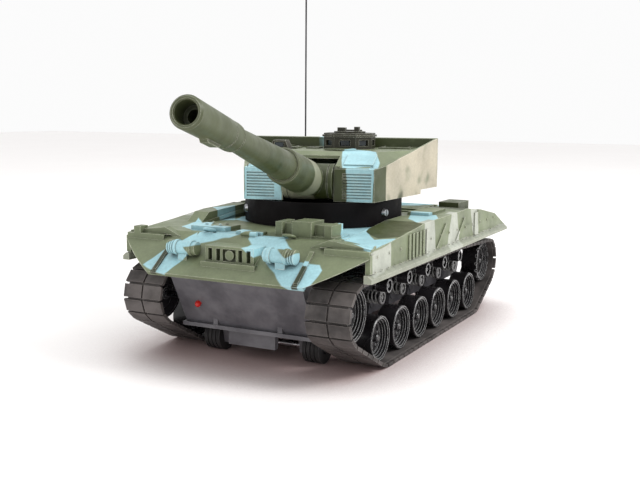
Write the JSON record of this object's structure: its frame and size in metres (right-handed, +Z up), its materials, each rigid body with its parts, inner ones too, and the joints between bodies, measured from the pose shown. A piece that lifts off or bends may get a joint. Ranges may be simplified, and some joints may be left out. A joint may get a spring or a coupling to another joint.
{
  "type": "toy tank",
  "caption": "Radio-controlled toy battle tank with rolling wheels inside tracks, a turning turret, a gun that lifts, and a camouflage-painted plastic shell.",
  "frame": {"origin": "on the ground plane, under the middle of the whole tank's box, gun included", "axes": "-Y forwards (the hull's nose), +Z up, +X the tank's left side"},
  "size_m": [0.136, 0.322, 0.279],
  "materials": {
    "painted": "matte",
    "grey": "matte",
    "black": "satin",
    "track": "matte",
    "steel": "satin",
    "led": "gloss",
    "cell": "satin",
    "board": "satin",
    "motor": "satin",
    "gearcase": "satin",
    "lamp": "matte",
    "wire": "satin",
    "tyre": "matte",
    "dark_olive": "matte"
  },
  "bodies": {
    "hull": {"lower_hull": "grey", "upper_hull": "painted", "battery_door": "grey", "battery_cells": "cell", "circuit_board": "board", "gearboxes": "gearcase", "drive_motors": "motor", "track_left": "track", "track_right": "track", "wheel_pins": "steel", "belly_axles": "steel", "spring_units": "black", "led_red": "led", "headlamps": "lamp", "hull_screws": "steel", "antenna_base": "black", "antenna": "wire", "switch_body": "motor"},
    "turret": {"turret_base": "black", "turret_screws": "steel", "turret_shell": "painted", "cupola": "painted", "cupola_hatch": "painted", "gunner_sight": "dark_olive"},
    "gun": {"mantlet": "painted", "trunnion_pin": "steel", "gun_sleeve": "painted", "gun_barrel": "painted", "muzzle": "painted"},
    "power_switch": {"power_switch": "black"},
    "sprocket_left": {"sprocket_left": "black"},
    "idler_left": {"idler_left": "black"},
    "road_wheel_1_left": {"road_wheel_1_left": "black"},
    "road_wheel_2_left": {"road_wheel_2_left": "black"},
    "road_wheel_3_left": {"road_wheel_3_left": "black"},
    "road_wheel_4_left": {"road_wheel_4_left": "black"},
    "road_wheel_5_left": {"road_wheel_5_left": "black"},
    "road_wheel_6_left": {"road_wheel_6_left": "black"},
    "roller_1_left": {"roller_1_left": "black"},
    "roller_2_left": {"roller_2_left": "black"},
    "roller_3_left": {"roller_3_left": "black"},
    "roller_4_left": {"roller_4_left": "black"},
    "roller_5_left": {"roller_5_left": "black"},
    "belly_wheel_front_left": {"belly_wheel_front_left": "tyre"},
    "belly_wheel_rear_left": {"belly_wheel_rear_left": "tyre"},
    "sprocket_right": {"sprocket_right": "black"},
    "idler_right": {"idler_right": "black"},
    "road_wheel_1_right": {"road_wheel_1_right": "black"},
    "road_wheel_2_right": {"road_wheel_2_right": "black"},
    "road_wheel_3_right": {"road_wheel_3_right": "black"},
    "road_wheel_4_right": {"road_wheel_4_right": "black"},
    "road_wheel_5_right": {"road_wheel_5_right": "black"},
    "road_wheel_6_right": {"road_wheel_6_right": "black"},
    "roller_1_right": {"roller_1_right": "black"},
    "roller_2_right": {"roller_2_right": "black"},
    "roller_3_right": {"roller_3_right": "black"},
    "roller_4_right": {"roller_4_right": "black"},
    "roller_5_right": {"roller_5_right": "black"},
    "belly_wheel_front_right": {"belly_wheel_front_right": "tyre"},
    "belly_wheel_rear_right": {"belly_wheel_rear_right": "tyre"}
  },
  "joints": [
    {"name": "turret_yaw", "type": "hinge", "parent": "hull", "child": "turret", "pos_m": [0, 0.03501, 0.0625], "axis": [0, 0, 1], "range_deg": [-134, 106]},
    {"name": "gun_elevation", "type": "hinge", "parent": "turret", "child": "gun", "pos_m": [0.00702, 0.00687, 0.0852], "axis": [-0.9703, -0.2419, 0], "range_deg": [-9.8, 10.2]},
    {"name": "power_slide", "type": "slide", "parent": "hull", "child": "power_switch", "axis": [0, 1, 0], "range_m": [0, 0.004]},
    {"name": "sprocket_left_spin", "type": "hinge", "parent": "hull", "child": "sprocket_left", "pos_m": [0, 0.1435, 0.028], "axis": [1, 0, 0], "continuous": true},
    {"name": "idler_left_spin", "type": "hinge", "parent": "hull", "child": "idler_left", "pos_m": [0, -0.04449, 0.0305], "axis": [1, 0, 0], "continuous": true},
    {"name": "road_wheel_1_left_spin", "type": "hinge", "parent": "hull", "child": "road_wheel_1_left", "pos_m": [0, -0.01499, 0.0135], "axis": [1, 0, 0], "continuous": true},
    {"name": "road_wheel_2_left_spin", "type": "hinge", "parent": "hull", "child": "road_wheel_2_left", "pos_m": [0, 0.0115, 0.0135], "axis": [1, 0, 0], "continuous": true},
    {"name": "road_wheel_3_left_spin", "type": "hinge", "parent": "hull", "child": "road_wheel_3_left", "pos_m": [0, 0.038, 0.0135], "axis": [1, 0, 0], "continuous": true},
    {"name": "road_wheel_4_left_spin", "type": "hinge", "parent": "hull", "child": "road_wheel_4_left", "pos_m": [0, 0.06451, 0.0135], "axis": [1, 0, 0], "continuous": true},
    {"name": "road_wheel_5_left_spin", "type": "hinge", "parent": "hull", "child": "road_wheel_5_left", "pos_m": [0, 0.09101, 0.0135], "axis": [1, 0, 0], "continuous": true},
    {"name": "road_wheel_6_left_spin", "type": "hinge", "parent": "hull", "child": "road_wheel_6_left", "pos_m": [0, 0.1175, 0.0135], "axis": [1, 0, 0], "continuous": true},
    {"name": "roller_1_left_spin", "type": "hinge", "parent": "hull", "child": "roller_1_left", "pos_m": [0, -0.01239, 0.039], "axis": [1, 0, 0], "continuous": true},
    {"name": "roller_2_left_spin", "type": "hinge", "parent": "hull", "child": "roller_2_left", "pos_m": [0, 0.01331, 0.039], "axis": [1, 0, 0], "continuous": true},
    {"name": "roller_3_left_spin", "type": "hinge", "parent": "hull", "child": "roller_3_left", "pos_m": [0, 0.039, 0.039], "axis": [1, 0, 0], "continuous": true},
    {"name": "roller_4_left_spin", "type": "hinge", "parent": "hull", "child": "roller_4_left", "pos_m": [0, 0.0647, 0.039], "axis": [1, 0, 0], "continuous": true},
    {"name": "roller_5_left_spin", "type": "hinge", "parent": "hull", "child": "roller_5_left", "pos_m": [0, 0.0904, 0.039], "axis": [1, 0, 0], "continuous": true},
    {"name": "belly_wheel_front_left_spin", "type": "hinge", "parent": "hull", "child": "belly_wheel_front_left", "pos_m": [0, -0.02499, 0.008], "axis": [1, 0, 0], "continuous": true},
    {"name": "belly_wheel_rear_left_spin", "type": "hinge", "parent": "hull", "child": "belly_wheel_rear_left", "pos_m": [0, 0.12701, 0.008], "axis": [1, 0, 0], "continuous": true},
    {"name": "sprocket_right_spin", "type": "hinge", "parent": "hull", "child": "sprocket_right", "pos_m": [0, 0.1435, 0.028], "axis": [1, 0, 0], "continuous": true},
    {"name": "idler_right_spin", "type": "hinge", "parent": "hull", "child": "idler_right", "pos_m": [0, -0.04449, 0.0305], "axis": [1, 0, 0], "continuous": true},
    {"name": "road_wheel_1_right_spin", "type": "hinge", "parent": "hull", "child": "road_wheel_1_right", "pos_m": [0, -0.01499, 0.0135], "axis": [1, 0, 0], "continuous": true},
    {"name": "road_wheel_2_right_spin", "type": "hinge", "parent": "hull", "child": "road_wheel_2_right", "pos_m": [0, 0.0115, 0.0135], "axis": [1, 0, 0], "continuous": true},
    {"name": "road_wheel_3_right_spin", "type": "hinge", "parent": "hull", "child": "road_wheel_3_right", "pos_m": [0, 0.038, 0.0135], "axis": [1, 0, 0], "continuous": true},
    {"name": "road_wheel_4_right_spin", "type": "hinge", "parent": "hull", "child": "road_wheel_4_right", "pos_m": [0, 0.06451, 0.0135], "axis": [1, 0, 0], "continuous": true},
    {"name": "road_wheel_5_right_spin", "type": "hinge", "parent": "hull", "child": "road_wheel_5_right", "pos_m": [0, 0.09101, 0.0135], "axis": [1, 0, 0], "continuous": true},
    {"name": "road_wheel_6_right_spin", "type": "hinge", "parent": "hull", "child": "road_wheel_6_right", "pos_m": [0, 0.1175, 0.0135], "axis": [1, 0, 0], "continuous": true},
    {"name": "roller_1_right_spin", "type": "hinge", "parent": "hull", "child": "roller_1_right", "pos_m": [0, -0.01239, 0.039], "axis": [1, 0, 0], "continuous": true},
    {"name": "roller_2_right_spin", "type": "hinge", "parent": "hull", "child": "roller_2_right", "pos_m": [0, 0.01331, 0.039], "axis": [1, 0, 0], "continuous": true},
    {"name": "roller_3_right_spin", "type": "hinge", "parent": "hull", "child": "roller_3_right", "pos_m": [0, 0.039, 0.039], "axis": [1, 0, 0], "continuous": true},
    {"name": "roller_4_right_spin", "type": "hinge", "parent": "hull", "child": "roller_4_right", "pos_m": [0, 0.0647, 0.039], "axis": [1, 0, 0], "continuous": true},
    {"name": "roller_5_right_spin", "type": "hinge", "parent": "hull", "child": "roller_5_right", "pos_m": [0, 0.0904, 0.039], "axis": [1, 0, 0], "continuous": true},
    {"name": "belly_wheel_front_right_spin", "type": "hinge", "parent": "hull", "child": "belly_wheel_front_right", "pos_m": [0, -0.02499, 0.008], "axis": [1, 0, 0], "continuous": true},
    {"name": "belly_wheel_rear_right_spin", "type": "hinge", "parent": "hull", "child": "belly_wheel_rear_right", "pos_m": [0, 0.12701, 0.008], "axis": [1, 0, 0], "continuous": true}
  ],
  "couplings": [
    {"joint": "idler_left_spin", "follows": "sprocket_left_spin", "ratio": 0.96825},
    {"joint": "road_wheel_1_left_spin", "follows": "sprocket_left_spin", "ratio": 1.1091},
    {"joint": "road_wheel_2_left_spin", "follows": "sprocket_left_spin", "ratio": 1.1091},
    {"joint": "road_wheel_3_left_spin", "follows": "sprocket_left_spin", "ratio": 1.1091},
    {"joint": "road_wheel_4_left_spin", "follows": "sprocket_left_spin", "ratio": 1.1091},
    {"joint": "road_wheel_5_left_spin", "follows": "sprocket_left_spin", "ratio": 1.1091},
    {"joint": "road_wheel_6_left_spin", "follows": "sprocket_left_spin", "ratio": 1.1091},
    {"joint": "roller_1_left_spin", "follows": "sprocket_left_spin", "ratio": 3.7538},
    {"joint": "roller_2_left_spin", "follows": "sprocket_left_spin", "ratio": 3.7538},
    {"joint": "roller_3_left_spin", "follows": "sprocket_left_spin", "ratio": 3.7538},
    {"joint": "roller_4_left_spin", "follows": "sprocket_left_spin", "ratio": 3.7538},
    {"joint": "roller_5_left_spin", "follows": "sprocket_left_spin", "ratio": 3.7538},
    {"joint": "idler_right_spin", "follows": "sprocket_right_spin", "ratio": 0.96825},
    {"joint": "road_wheel_1_right_spin", "follows": "sprocket_right_spin", "ratio": 1.1091},
    {"joint": "road_wheel_2_right_spin", "follows": "sprocket_right_spin", "ratio": 1.1091},
    {"joint": "road_wheel_3_right_spin", "follows": "sprocket_right_spin", "ratio": 1.1091},
    {"joint": "road_wheel_4_right_spin", "follows": "sprocket_right_spin", "ratio": 1.1091},
    {"joint": "road_wheel_5_right_spin", "follows": "sprocket_right_spin", "ratio": 1.1091},
    {"joint": "road_wheel_6_right_spin", "follows": "sprocket_right_spin", "ratio": 1.1091},
    {"joint": "roller_1_right_spin", "follows": "sprocket_right_spin", "ratio": 3.7538},
    {"joint": "roller_2_right_spin", "follows": "sprocket_right_spin", "ratio": 3.7538},
    {"joint": "roller_3_right_spin", "follows": "sprocket_right_spin", "ratio": 3.7538},
    {"joint": "roller_4_right_spin", "follows": "sprocket_right_spin", "ratio": 3.7538},
    {"joint": "roller_5_right_spin", "follows": "sprocket_right_spin", "ratio": 3.7538}
  ]
}
